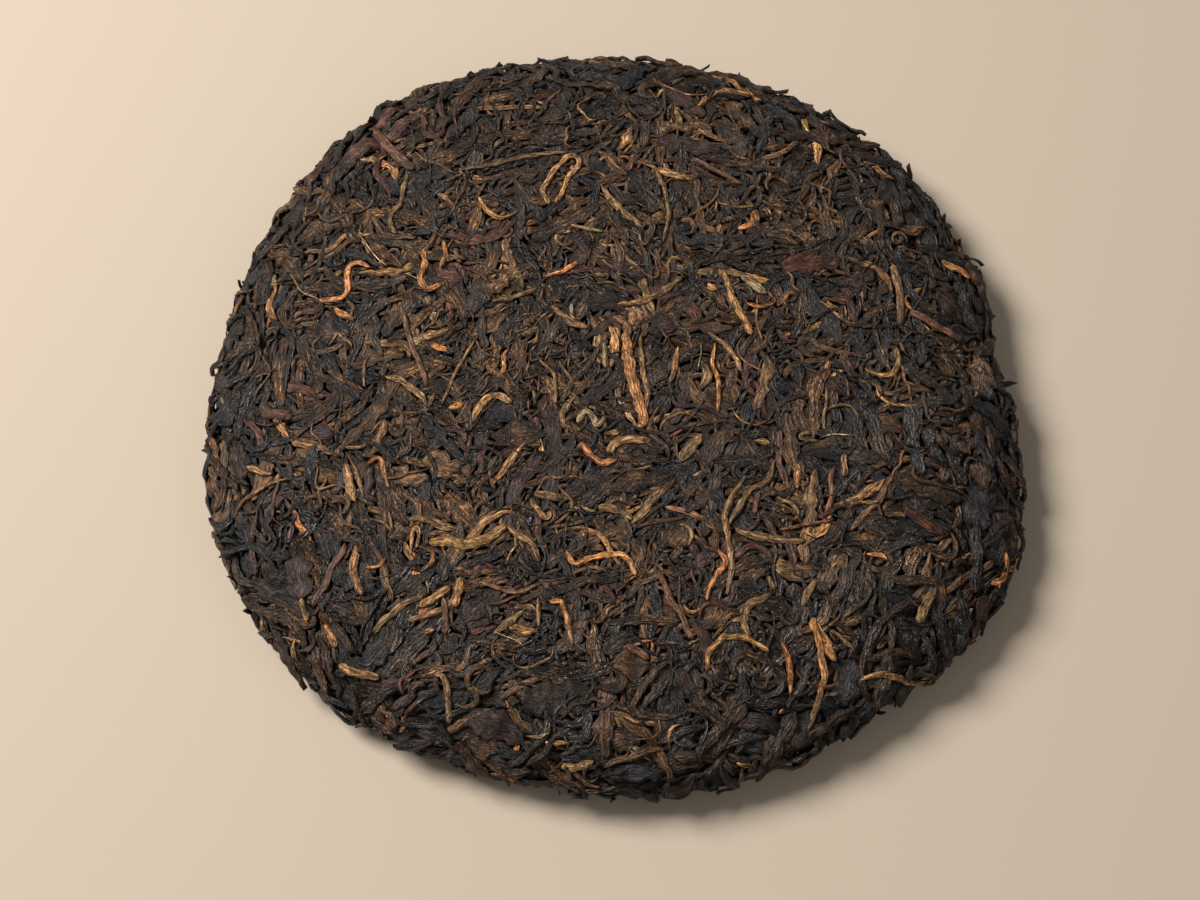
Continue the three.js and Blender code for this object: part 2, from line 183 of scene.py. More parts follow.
# Leaves that stand out in the face or round the rim: x, y, heading, length, width, bend and colour
GOLDEN_TIPS = (
    (-37, 57, 16, 27, 1.5, -6, TAN),
    (-10, 41, -13, 8, 1.3, 0, PALE),
    (11, 58, -28, 10, 2.2, 20, GOLD),
    (31, 27, -38, 8, 2.2, 0, PALE),
    (-62, -22, -73, 10, 2.2, 0, GOLD),
    (-86, -21, -30, 7, 1.6, 20, GOLD),
    (-54, 0, -10, 14, 1.8, -60, TAN),
    (-54, -63, 55, 14, 1.8, -40, TAN),
    (28, -39, -28, 16, 2.2, 40, TAN),
    (38, -66, -60, 12, 1.5, -45, ORANGE),
    (-12, -96, 8, 8, 2.2, 20, GOLD),
    (-2, -95, 30, 15, 1.7, -25, TAN),
    (45, -60, -70, 11, 2.6, 20, GOLD),
)
STEMS = (
    (-51, 19, -73, 23, 1.5, 4, STEM),
    (20, 61, -32, 14, 1.5, 0, STEM),
    (-59, 72, -55, 18, 2.6, 6, STEM),
    (73, 19, -22, 16, 2.2, 0, STEM),
    (69, 32, -84, 17, 2.3, 0, STEM),
    (3, -67, -31, 6, 2, 0, STEM),
    (38, -39, 15, 12, 1, 0, STEM),
)
BROAD_LEAVES = (
    (41, 30, 10, 15, 5.5, 0, RUSSET),
    (14, 85, -49, 14, 4.5, 0, RUSSET),
    (66, -32, -40, 10, 3, 10, RUSSET),
    (-72, -44, -85, 10, 6.5, 0, PURPLE),
    (-71, -14, -3, 6, 4, 0, PURPLE),
    (82, -51, -50, 7, 5, 0, RUSSET),
    (-33, -83, -31, 14, 7, 0, PURPLE),
    (-21, -80, 5, 17, 8, 0, INK),
)
# Where fine hairs are matted: x, y, heading, spread and count
HAIR_PATCHES = (
    (-19, 9, 70, 6, 60),
    (-30, 0, 35, 7, 40),
    (-8, 30, -20, 8, 20),
    (30, 10, 100, 12, 20),
)
# Single hairs, as x, y, heading, length, width, bend and colour
PALE_HAIRS = (
    (-62, 40, -60, 12, 0.35, 14, PALE),
    (-50, 28, -28, 9, 0.3, -20, PALE),
    (20, 1, 70, 8, 0.3, 30, PALE),
    (48, -16, 20, 9, 0.3, -35, PALE),
    (-20, -68, 140, 8, 0.3, 25, PALE),
)
# How many thin strands lie over the face, and how many torn ends stand out round the rim
THREADS = 380
FLAKES = 88

# A random leaf's colour goes by its lot, from 0 to 1: each colour takes the lots up to its value
BLACK_TO = 0.57
UMBER_TO = 0.79
BROWN_TO = 0.88
RUSSET_TO = 0.915
TAN_TO = 0.958
GOLD_TO = 0.984
DARK_FINISHES = ("black", "umber")

# In each zone, how far apart a leaf's rings of points are, and how steeply a leaf may rise or dive
RING_STEP = {"face": 1.0, "rim": 1.25, "foot": 1.5}
STEEPEST = {"face": 0.55, "rim": 0.75, "foot": 0.55}
# Leaves within this distance of the middle are pressed flatter, and leaves wider than this look flat
PRESSED_MIDDLE = 34
FLAT_WIDTH = 2.2


def seeded_draw(seed):
    """The solid's own row of draws, each from 0 to 1, so the same big leaves come out here."""
    state = seed

    def draw():
        nonlocal state
        state = (state + 0x6D2B79F5) & 0xFFFFFFFF
        mixed = ((state ^ (state >> 15)) * (state | 1)) & 0xFFFFFFFF
        added = ((mixed ^ (mixed >> 7)) * (mixed | 61)) & 0xFFFFFFFF
        mixed ^= (mixed + added) & 0xFFFFFFFF
        return ((mixed ^ (mixed >> 14)) & 0xFFFFFFFF) / 2**32

    return draw


def section_points():
    """Half section from the top's middle, over the rim, to the dimple's middle."""
    fine = 240
    over = np.pi / 2 * (np.arange(fine + 1) / fine) ** 1.5
    out = CAKE_RADIUS * np.sin(over) ** (2 / DOME_POWER)
    top = np.column_stack((out, RIM_HEIGHT + (CENTRE_HEIGHT - RIM_HEIGHT) * np.cos(over)))
    under = np.pi / 2 * np.arange(1, fine // 4 + 1) / (fine // 4)
    out = FOOT_RADIUS + (CAKE_RADIUS - FOOT_RADIUS) * np.cos(under)
    rim = np.column_stack((out, RIM_HEIGHT * (1 - np.sin(under))))
    radius = FOOT_RADIUS * (1 - np.arange(1, fine + 1) / fine)
    inward = np.maximum(0, 1 - radius / DIMPLE_RADIUS)
    foot = np.column_stack((radius, DIMPLE_DEPTH * np.sin(np.pi / 2 * inward) ** 2))
    return np.concatenate((top, rim, foot))


SECTION = section_points()
STEPS = np.diff(SECTION, axis=0)
STEP_LENGTHS = np.linalg.norm(STEPS, axis=1)
TRAVEL = np.concatenate(((0,), np.cumsum(STEP_LENGTHS)))
TRAVEL_END = TRAVEL[-1]
MIDWAY = (TRAVEL[1:] + TRAVEL[:-1]) / 2
OUT_X = -STEPS[:, 1] / STEP_LENGTHS
OUT_Z = STEPS[:, 0] / STEP_LENGTHS
WIDEST = TRAVEL[np.argmax(SECTION[:, 0])]
SHOULDER = TRAVEL[np.argmax(SECTION[:, 0] > FOOT_RADIUS)]
FOOT = TRAVEL[np.argmax((TRAVEL > WIDEST) & (SECTION[:, 0] <= FOOT_RADIUS))]


def plan_share(angle):
    """The plan's radius at an angle in radians, as a share of the cake's radius."""
    share = np.ones_like(angle)
    for at, grows, spread in LOBES:
        away = (angle - math.radians(at) + np.pi) % (2 * np.pi) - np.pi
        share = share + grows * np.exp(-0.5 * (away / math.radians(spread)) ** 2)
    return share


def on_skin(side, spots, lift):
    """Points of the skin, lifted off the pressed form, from places on the flat layout of a side."""
    away = np.hypot(spots[..., 0], spots[..., 1])
    angle = np.arctan2(spots[..., 1], spots[..., 0])
    travel = np.clip(away if side == "face" else TRAVEL_END - away, 0, TRAVEL_END)
    radius = np.interp(travel, TRAVEL, SECTION[:, 0])
    height = np.interp(travel, TRAVEL, SECTION[:, 1])
    share = 1 + (plan_share(angle) - 1) * (radius / CAKE_RADIUS) ** 2
    reach = radius * share + np.interp(travel, MIDWAY, OUT_X) * lift
    x, y = reach * np.cos(angle) + PLAN_SHIFT[0], reach * np.sin(angle) + PLAN_SHIFT[1]
    z = np.maximum(height + np.interp(travel, MIDWAY, OUT_Z) * lift, 0)
    return np.stack((x, y, z), axis=-1)


def waves(x, y, size, seed):
    """Smooth unevenness with swells about one size across, mostly from -1 to 1."""
    draw = np.random.default_rng(seed)
    total = np.zeros_like(x)
    for turn, stretch, shift in draw.uniform((0, 0.7, 0), (2 * np.pi, 1.5, 2 * np.pi), (7, 3)):
        way = (x * math.cos(turn) + y * math.sin(turn)) * 2 * np.pi / (size * stretch)
        total += np.sin(way + shift)
    return total / 2.6


def spot_at(away, angle):
    """The place at a distance from the middle, in a direction given in radians."""
    return away * np.array((math.cos(angle), math.sin(angle)))


def rising(value, low, high):
    """From 0 at low to 1 at high, with a soft start and end."""
    share = np.clip((value - low) / (high - low), 0, 1)
    return share * share * (3 - 2 * share)


class Bed:
    """The flat layout of one side, with how far down from the mould it is still free."""

    CELL = 0.35

    def __init__(self, side, reach):
        self.side = side
        self.reach = reach
        self.count = int(2 * reach / self.CELL) + 1
        place = (np.arange(self.count) + 0.5) * self.CELL - reach
        x, y = np.meshgrid(place, place, indexing="ij")
        away = np.hypot(x, y)
        self.free_under = self.mould_height(x, y, away)
        self.inside = away < reach - 1
        self.bare = self.inside.copy()

    def mould_height(self, x, y, away):
        """How far above the even pressed form a leaf may lie, looser round the rim."""
        if self.side == "foot":
            return -0.12 + 0.14 * waves(x, y, 22, 5) + 0.08 * waves(x, y, 7, 6)
        loose = rising(away, SHOULDER - 10, SHOULDER + 6)
        pressed = -0.1 + 0.15 * waves(x, y, 27, 1) + 0.1 * waves(x, y, 8, 2)
        return pressed + loose * (-0.35 + 0.5 * waves(x, y, 13, 3) + 0.35 * waves(x, y, 5, 4))

    def cells(self, spots):
        """The rows and columns of the cells in which these places lie."""
        at = ((spots + self.reach) / self.CELL).astype(int)
        at = np.clip(at, 0, self.count - 1)
        return at[..., 0], at[..., 1]


ACROSS = np.linspace(-1, 1, 7)
# The share of a leaf over which an end draws in, and the share of its width that is left there
TAPER = 0.32
END_WIDTH = 0.22


@dataclass
class Leaf:
    """One strip of leaf, stem or bud: its line on the flat layout, its section and its colours."""

    length: float
    width: float
    # The turn over the whole length. The other turns are small waves, a hook and a sharp kink
    bend: float
    thick: float
    wiggle: float = 5.0
    hook: float = 0.0
    kink: float = 0.0
    # The depth of its folds, their turns for each millimetre, and how domed it is
    ridge: float = 0.15
    twist: float = 0.0
    crown: float = 0.1
    # The edge's waves and tears as shares of the width, and how pointed both ends are, from 0 for blunt
    ragged: float = 0.2
    torn: float = 0.05
    tips: tuple = (0.5, 0.5)
    # How far the far end stands off, and how strongly the veins show
    lift: float = 0.0
    vein: float = 0.3

    def draw_line(self, heading, step, draw):
        """Draws the leaf's line from its first end, with a seeded bend of its own."""
        count = max(5, round(self.length / step)) + 1
        share = np.linspace(0, 1, count)
        turn = heading + self.bend * share + self.hook * rising(share, 0.5, 1)
        turn += self.wiggle * np.sin(2 * np.pi * (share * draw.uniform(0.7, 2.2) + draw.uniform()))
        bent_at = draw.uniform(0.25, 0.75)
        turn = np.radians(turn + self.kink * rising(share, bent_at - 0.07, bent_at + 0.07))
        ahead = np.column_stack((np.cos(turn), np.sin(turn)))
        steps = ahead[:-1] * self.length / (count - 1)
        self.line = np.concatenate((np.zeros((1, 2)), np.cumsum(steps, axis=0)))
        self.set_edges(ahead, share, draw)

    def follow(self, points, step, draw):
        """Lays the leaf along a bent line."""
        points = np.array(points, dtype=float)
        runs = np.linalg.norm(np.diff(points, axis=0), axis=1)
        along = np.concatenate(((0,), np.cumsum(runs)))
        self.length = along[-1]
        count = max(5, round(self.length / step)) + 1
        share = np.linspace(0, 1, count)
        line = np.column_stack([np.interp(share * self.length, along, axis) for axis in points.T])
        for _ in range(2):
            line[1:-1] = (line[:-2] + 2 * line[1:-1] + line[2:]) / 4
        self.line = line
        ahead = np.gradient(line, axis=0)
        self.set_edges(ahead / np.linalg.norm(ahead, axis=1)[:, None], share, draw)

    def set_edges(self, ahead, share, draw):
        """Gives the leaf its two wavy, torn edges, which draw in over the last third at each end."""
        count = len(share)
        self.left = np.column_stack((-ahead[:, 1], ahead[:, 0]))
        self.along = share * self.length
        ends = np.clip(share / TAPER, 0, 1) ** self.tips[0]
        ends *= np.clip((1 - share) / TAPER, 0, 1) ** self.tips[1]
        half = self.width / 2 * (END_WIDTH + (1 - END_WIDTH) * ends)
        edges = []
        for _ in range(2):
            wave = np.sin(self.along * draw.uniform(0.5, 1.4) + draw.uniform(0, 6))
            wave += 0.6 * np.sin(self.along * draw.uniform(1.4, 2.6) + draw.uniform(0, 6))
            tears = draw.normal(0, self.torn, count).clip(-0.2, 0.2)
            edges.append(half * (1 + self.ragged * wave + tears))
        self.right_edge, self.left_edge = edges

    def reach(self, aside):
        """How far points at these shares of the half width lie to the left of the line."""
        right, left = self.right_edge[:, None], self.left_edge[:, None]
        return np.where(aside > 0, left, right) * aside

    def spots(self, aside):
        """Places on the flat layout, at these shares of the half width."""
        return self.line[:, None] + self.left[:, None] * self.reach(aside)[..., None]

    def slide_under(self, bed, slope):
        """Sets how high the leaf lies, and gives the share of it that will show."""
        rows, cols = bed.cells(self.spots(ACROSS))
        # As high as what lies above lets it, without a rise or a dive steeper than the slope
        roof = (bed.free_under[rows, cols] + 0.5 * self.thick * ACROSS**2).min(axis=1)
        gap = np.abs(self.along[:, None] - self.along)
        top = (roof + slope * gap).min(axis=1)
        self.top = np.convolve(np.pad(top, 1, mode="edge"), (0.25, 0.5, 0.25), "valid")
        bare = bed.bare[rows, cols]
        self.shows = bare.any(axis=1)
        return bare.mean()

    TRACKS = ("line", "left", "along", "right_edge", "left_edge", "top", "shows")

    def tracks(self):
        """What a trial of one direction gave the leaf, to be put back if it was the best."""
        return [getattr(self, name) for name in self.TRACKS]

    def set_tracks(self, tracks, cut=slice(None)):
        """Puts such values back, or only a cut of them."""
        for name, values in zip(self.TRACKS, tracks):
            setattr(self, name, values[cut])

    def trim(self):
        """Cuts off ends that lie wholly under other leaves."""
        seen = np.flatnonzero(self.shows)
        first, last = max(0, seen[0] - 2), min(len(self.line) - 1, seen[-1] + 2)
        if last - first < 4:
            first = max(0, last - 4)
            last = min(len(self.line) - 1, first + 4)
        self.set_tracks(self.tracks(), slice(first, last + 1))

    def press_in(self, bed):
        """Marks the room that the leaf takes."""
        at = np.arange(len(self.line))
        finer = np.linspace(0, len(self.line) - 1, 4 * len(self.line))
        wide = np.linspace(-1, 1, max(5, int(self.width / 0.25)))
        tracks = self.spots(wide).reshape(len(at), -1).T
        spots = np.column_stack([np.interp(finer, at, track) for track in tracks])
        rows, cols = bed.cells(spots.reshape(len(finer), len(wide), 2))
        bottom = np.interp(finer, at, self.top) - self.thick
        np.minimum.at(bed.free_under, (rows, cols), np.broadcast_to(bottom[:, None], rows.shape))
        bed.bare[rows, cols] = False


def linear(colour):
    """A colour from 0 to 255 as the linear values that a shader takes."""
    share = np.asarray(colour, dtype=float) / 255
    return np.where(share <= 0.04045, share / 12.92, ((share + 0.055) / 1.055) ** 2.4)


def tinted(palette, draw, spread):
    """One of the palette's colours, made a little lighter or darker and of a slightly other hue."""
    colour = linear(palette[draw.integers(len(palette))])
    return colour * draw.normal(1, 0.05, 3).clip(0.85, 1.15) * math.exp(draw.normal(0, spread))


def colour_leaf(leaf, palette, draw, end_palette=None, spread=0.29):
    """Gives a leaf its tone at both ends and in its middle, and how glossy it is."""
    leaf.tone = tinted(palette, draw, spread)
    leaf.end_tone = tinted(end_palette or palette, draw, spread)
    leaf.middle_tone = (leaf.tone + leaf.end_tone) / 2 * draw.uniform(0.75, 1.3)
    leaf.gloss = draw.uniform()


PIECES = {}


def store(piece, bed, leaf, most_columns):
    """Keeps a laid leaf for its piece, with enough columns of points for its width."""
    leaf.side = bed.side
    leaf.columns = int(np.clip(round(leaf.width / 0.42) + 2, 5, most_columns))
    PIECES.setdefault(piece, []).append(leaf)


def lay_in(bed, piece, leaf, colours, slope, most_columns):
    """Slides a leaf under those already there, colours it and keeps it for its piece."""
    leaf.slide_under(bed, slope)
    colour_leaf(leaf, *colours)
    leaf.press_in(bed)
    store(piece, bed, leaf, most_columns)


def lay_named(bed, piece, entries, draw, thick, **shape):
    """Leaves at given places, each uppermost where it lies."""
    for x, y, heading, length, width, bend, palette in entries:
        leaf = Leaf(length, width, bend, thick, **shape)
        leaf.draw_line(heading, step=0.8, draw=draw)
        leaf.line += (x, y)
        lay_in(bed, piece, leaf, (palette, draw), slope=0.5, most_columns=11)


def lay_bent_tips(bed, draw):
    """Golden tips and folded leaves, each along its own bent line, a little wider than it shows."""
    for width, palette, points in BENT_TIPS:
        blunt = tuple(draw.uniform(0.08, 0.45, 2))
        leaf = Leaf(0, 1.15 * width, 0, 0.4, ridge=0.1, ragged=0.14, torn=0.07, tips=blunt)
        leaf.follow(points, step=0.7, draw=draw)
        colours = (palette, draw, palette if draw.uniform() < 0.8 else TAN, 0.1)
        lay_in(bed, "golden_leaves", leaf, colours, slope=0.5, most_columns=9)


def lay_hairs(bed, draw):
    """Fine brown hairs, matted in places and combed one way."""
    for x, y, heading, spread, count in HAIR_PATCHES:
        for spot in draw.normal((x, y), spread, (count, 2)):
            leaf = Leaf(
                length=draw.uniform(2, 5),
                width=draw.uniform(0.3, 0.55),
                bend=draw.normal(0, 20),
                thick=0.1,
                ridge=0.02,
                crown=0.02,
            )
            leaf.draw_line(heading + draw.normal(0, 28), step=0.9, draw=draw)
            leaf.line += spot - leaf.line.mean(axis=0)
            colours = (BROWN if draw.uniform() < 0.6 else TAN, draw, UMBER)
            lay_in(bed, "pale_hairs", leaf, colours, slope=0.7, most_columns=5)


def lay_flakes(bed, draw):
    """Short torn ends that stand out round the rim, and most of all on the right."""
    for i in range(FLAKES):
        angle = 2 * math.pi * (i + draw.uniform()) / FLAKES
        away = WIDEST + draw.uniform(-6, 2.5)
        leaf = Leaf(
            length=draw.uniform(2.5, 5.5),
            width=draw.uniform(1, 2.4),
            bend=draw.normal(0, 30),
            thick=0.45,
            ragged=0.28,
            torn=0.1,
            tips=(0.8, 0.8),
            lift=draw.uniform(0.6, 1.6) + max(0, math.cos(angle)) * draw.uniform(0, 1.4),
        )
        heading = math.degrees(angle) + draw.normal(0, 55) + 180 * draw.integers(2)
        leaf.draw_line(heading, step=0.8, draw=draw)
        leaf.line += spot_at(away, angle)
        colours = (INK if draw.uniform() < 0.6 else UMBER, draw)
        lay_in(bed, "rim_rolled_leaves", leaf, colours, slope=0.5, most_columns=7)


def lay_threads(bed, draw):
    """Thin strands scattered over the face, under the tips, stems and hairs alone."""
    for _ in range(THREADS):
        leaf = thread(draw)
        away = (SHOULDER + 4) * math.sqrt(draw.uniform())
        spot = spot_at(away, draw.uniform(0, 2 * math.pi))
        finish = pick_colours(leaf, draw, spot)
        leaf.draw_line(draw.uniform(0, 360), step=0.9, draw=draw)
        leaf.line += spot - leaf.line.mean(axis=0)
        leaf.slide_under(bed, slope=0.7)
        leaf.press_in(bed)
        piece = finish + ("_rolled_leaves" if finish in DARK_FINISHES else "_leaves")
        store(piece, bed, leaf, most_columns=5)


def even_entries(count, inner, outer, draw):
    """The big dark leaves of the solid on one side, by the solid's own rule."""
    golden_angle = math.pi * (3 - math.sqrt(5))
    for i in range(count):
        away = math.sqrt(inner**2 + (outer**2 - inner**2) * (i + 0.5) / count)
        heading, length = 360 * draw(), 12 + 12 * draw()
        width, bend = 2.6 + 2.2 * draw(), 90 * (draw() - 0.5)
        draw()
        x = away * math.cos(i * golden_angle) - math.cos(math.radians(heading)) * length / 2
        y = away * math.sin(i * golden_angle) - math.sin(math.radians(heading)) * length / 2
        yield x, y, heading, length, width, bend, INK


def rim_entries(draw):
    """The big leaves of the solid round its rim, each with how far its end stands off."""
    for i in range(RIM_LEAVES):
        angle = 360 * (i + 0.6 * draw()) / RIM_LEAVES
        travel = SHOULDER + (FOOT - SHOULDER) * (0.12 + 0.62 * ((i * 0.618) % 1))
        heading = angle + 90 + 110 * (draw() - 0.5)
        length, width = 10 + 10 * draw(), 2.4 + 1.8 * draw()
        lift = 2.2 * max(0, draw() - 0.35)
        x, y = travel * math.cos(math.radians(angle)), travel * math.sin(math.radians(angle))
        yield (x, y, heading, length, width, 60 * (draw() - 0.5), UMBER), lift


def rolled_leaf(draw):
    """A leaf rolled into a thin twisted strand, often kinked or hooked."""
    leaf = Leaf(
        width=math.exp(draw.normal(0.6, 0.3)),
        length=7 + 19 * draw.beta(1.5, 2.3),
        bend=draw.normal(0, 45),
        thick=0.28,
        twist=draw.choice((-1, 1)) / draw.uniform(7, 22),
        wiggle=draw.uniform(5, 20),
        ragged=0.16,
    )
    if draw.uniform() < 0.4:
        leaf.kink = draw.choice((-1, 1)) * draw.uniform(20, 75)
    if draw.uniform() < 0.3:
        leaf.hook = draw.choice((-1, 1)) * draw.uniform(50, 150)
    return leaf


def flat_leaf(draw):
    """A wider leaf pressed flat, with lengthwise wrinkles and torn edges."""
    leaf = Leaf(
        length=draw.uniform(9, 23),
        width=draw.uniform(2.3, 4.8),
        bend=draw.normal(0, 26),
        thick=0.25,
        crown=0.02,
        ridge=0.18,
        wiggle=draw.uniform(4, 14),
        twist=draw.normal(0, 0.02),
        ragged=0.24,
        torn=0.09,
    )
    if draw.uniform() < 0.25:
        leaf.kink = draw.choice((-1, 1)) * draw.uniform(15, 45)
    return leaf


def curled_leaf(draw):
    """A thin strand curled most of the way round."""
    width = draw.uniform(0.9, 1.7)
    turn = draw.uniform(130, 300)
    return Leaf(
        length=max(7, math.radians(turn) * width * draw.uniform(0.9, 2)),
        width=width,
        bend=draw.choice((-1, 1)) * turn,
        thick=0.28,
        twist=draw.choice((-1, 1)) / draw.uniform(6, 14),
        ragged=0.15,
    )


def broad_leaf(draw):
    """A piece of open leaf, thin and creased."""
    return Leaf(
        length=draw.uniform(7, 13),
        width=draw.uniform(4.5, 7.5),
        bend=draw.normal(0, 12),
        thick=0.25,
        crown=-0.03,
        ridge=0.19,
        ragged=0.22,
        torn=0.1,
    )


def thread(draw):
    """A torn-off vein or edge, thin and curled, that lies over the leaves."""
    leaf = Leaf(
        length=draw.uniform(5, 17),
        width=draw.uniform(0.5, 1.05),
        bend=draw.normal(0, 90),
        thick=0.24,
        wiggle=draw.uniform(8, 30),
        ridge=0.06,
        crown=0.08,
        ragged=0.14,
        tips=tuple(draw.uniform(0.1, 0.7, 2)),
    )
    if draw.uniform() < 0.4:
        leaf.kink = draw.choice((-1, 1)) * draw.uniform(30, 90)
    return leaf


def scrap(draw):
    """A broken bit that fills a gap."""
    return Leaf(
        length=draw.uniform(3.5, 9),
        width=draw.uniform(0.8, 1.9),
        bend=draw.normal(0, 45),
        thick=0.26,
        ridge=0.1,
        ragged=0.22,
    )


# The kinds of random leaf in each part of the cake, with their shares
LEAF_KINDS = {
    "middle": ((rolled_leaf, 0.42), (flat_leaf, 0.38), (curled_leaf, 0.1), (broad_leaf, 0.1)),
    "face": ((rolled_leaf, 0.54), (flat_leaf, 0.29), (curled_leaf, 0.13), (broad_leaf, 0.04)),
    "rim": ((rolled_leaf, 0.4), (flat_leaf, 0.42), (curled_leaf, 0.07), (broad_leaf, 0.11)),
    "foot": ((rolled_leaf, 0.5), (flat_leaf, 0.36), (curled_leaf, 0.06), (broad_leaf, 0.08)),
}


def random_leaf(zone, draw, small, away):
    """A leaf of the kinds and sizes that a zone of the cake has, coarser towards the rim."""
    if small:
        return scrap(draw)
    makers, shares = zip(*LEAF_KINDS["middle" if zone == "face" and away < PRESSED_MIDDLE else zone])
    leaf = makers[draw.choice(len(makers), p=shares)](draw)
    outward = min(1, away / SHOULDER) ** 2
    leaf.width *= 0.95 + 0.2 * outward
    leaf.length *= 1 + 0.1 * outward
    leaf.thick *= draw.uniform(0.85, 1.2) * (0.65 + 0.75 * outward)
    leaf.ridge *= 0.65 + 0.4 * outward
    leaf.tips = tuple(draw.uniform(0.12, 1, 2))
    if zone == "rim":
        leaf.thick *= 1.45
        leaf.crown += 0.1
        leaf.ridge *= 1.4
    limit = math.degrees(leaf.length * 0.45 / (0.7 * leaf.width))
    leaf.hook = float(np.clip(leaf.hook, -limit, limit))
    return leaf


def pick_colours(leaf, draw, spot):
    """Gives a leaf its colours, browner in some parts of the cake, and says which finish it has."""
    x, y = spot / CAKE_RADIUS
    lot = draw.uniform()
    if lot < RUSSET_TO:
        lean = 0.13 * waves(spot[0], spot[1], 36, 9) + 0.1 * (1 - 2 * (x * x + y * y)) - 0.05 * x
        lot = min(max(lot + lean, 0), RUSSET_TO - 0.001)
    leaf.vein = draw.uniform() ** 1.5
    if lot < BLACK_TO:
        # Painted sheen: some black leaves take the lighter slate tones, more often towards the front of
        # the cake
        if draw.uniform() < 0.4 - 0.25 * y:
            leaf.vein *= 0.3
            colour_leaf(leaf, SLATE_AND_SHEEN, draw)
            return "black"
        ends = draw.uniform()
        colour_leaf(leaf, INK, draw, TAN if ends < 0.05 else UMBER if ends < 0.35 else None)
        return "black"
    if lot < UMBER_TO:
        colour_leaf(leaf, UMBER, draw, BROWN if draw.uniform() < 0.3 else INK)
        return "umber"
    if lot < BROWN_TO:
        colour_leaf(leaf, BROWN, draw, TAN if draw.uniform() < 0.3 else UMBER)
        return "brown"
    if lot < RUSSET_TO:
        colour_leaf(leaf, RUSSET if draw.uniform() < 0.6 else PURPLE, draw)
        return "brown"
    leaf.width = min(leaf.width, 2.3)
    leaf.tips = (draw.uniform(0.3, 1), draw.uniform(0.5, 1))
    if lot < TAN_TO:
        colour_leaf(leaf, TAN, draw, BROWN if draw.uniform() < 0.5 else GOLD, 0.24)
        return "golden"
    if lot < GOLD_TO:
        palette = GOLD if draw.uniform() < 0.75 else ORANGE
        colour_leaf(leaf, palette, draw, TAN if draw.uniform() < 0.5 else BROWN, 0.24)
        return "golden"
    colour_leaf(leaf, STEM, draw)
    leaf.width = min(leaf.width, 1.6)
    leaf.bend *= 0.3
    leaf.hook = leaf.kink = 0.0
    leaf.tips = (0.1, 0.1)
    leaf.ragged = 0.06
    leaf.twist = 0.0
    return "stem"


def lay_best(bed, leaf, spot, zone, draw, tries):
    """Tries the leaf in several directions over a bare spot and keeps the one that shows most."""
    best_score = None
    for _ in range(tries):
        heading = draw.uniform(0, 360)
        if zone == "rim":
            around = math.degrees(math.atan2(spot[1], spot[0]))
            heading = around + 90 + draw.normal(0, 34) + 180 * draw.integers(2)
        leaf.draw_line(heading, RING_STEP[zone], draw)
        leaf.line += spot - leaf.line[len(leaf.line) // 2]
        shown = leaf.slide_under(bed, STEEPEST[zone])
        score = shown + 0.25 * leaf.top.mean()
        if best_score is None or score > best_score:
            best_score, best_shown, best = score, shown, leaf.tracks()
    leaf.set_tracks(best)
    return best_shown


def fill_bed(bed, draw, most, scraps_below, leave_bare):
    """Lays leaf after leaf where the bed is still bare, with scraps once little of it is."""
    recount, open_share, careful_tries, least_shown, sunk_under = 20, 0.55, 6, 0.1, -0.75
    laid = tries = 0
    while laid < most and tries < 3 * most:
        if tries % recount == 0:
            open_cells = np.argwhere(bed.bare)
            bare_share = len(open_cells) / bed.inside.sum()
            if bare_share < leave_bare:
                break
        tries += 1
        cell = open_cells[draw.integers(len(open_cells))]
        if not bed.bare[cell[0], cell[1]]:
            continue
        spot = (cell + 0.5) * bed.CELL - bed.reach
        away = math.hypot(*spot)
        zone = "rim" if bed.side == "face" and away > SHOULDER - 3 else bed.side
        leaf = random_leaf(zone, draw, bare_share < scraps_below and draw.uniform() < 0.8, away)
        finish = pick_colours(leaf, draw, spot)
        shown = lay_best(bed, leaf, spot, zone, draw, 1 if bare_share > open_share else careful_tries)
        # It would hardly show, or would lie as deep as the core
        if shown < least_shown or leaf.top[leaf.shows].max() < -CORE_DEPTH:
            bed.bare[cell[0], cell[1]] = False
            continue
        leaf.trim()
        if zone == "rim" and draw.uniform() < 0.3:
            leaf.lift = draw.uniform(0.25, 1.0)
        leaf.press_in(bed)
        sunk = zone == "face" and leaf.top.mean() < sunk_under
        if finish not in DARK_FINISHES:
            piece = finish + "_leaves"
        elif sunk:
            piece = "sunk_leaves"
        else:
            where = finish if zone == "face" else zone
            piece = where + ("_flat_leaves" if leaf.width > FLAT_WIDTH else "_rolled_leaves")
        store(piece, bed, leaf, 5 if sunk or zone == "foot" else 9)
        laid += 1


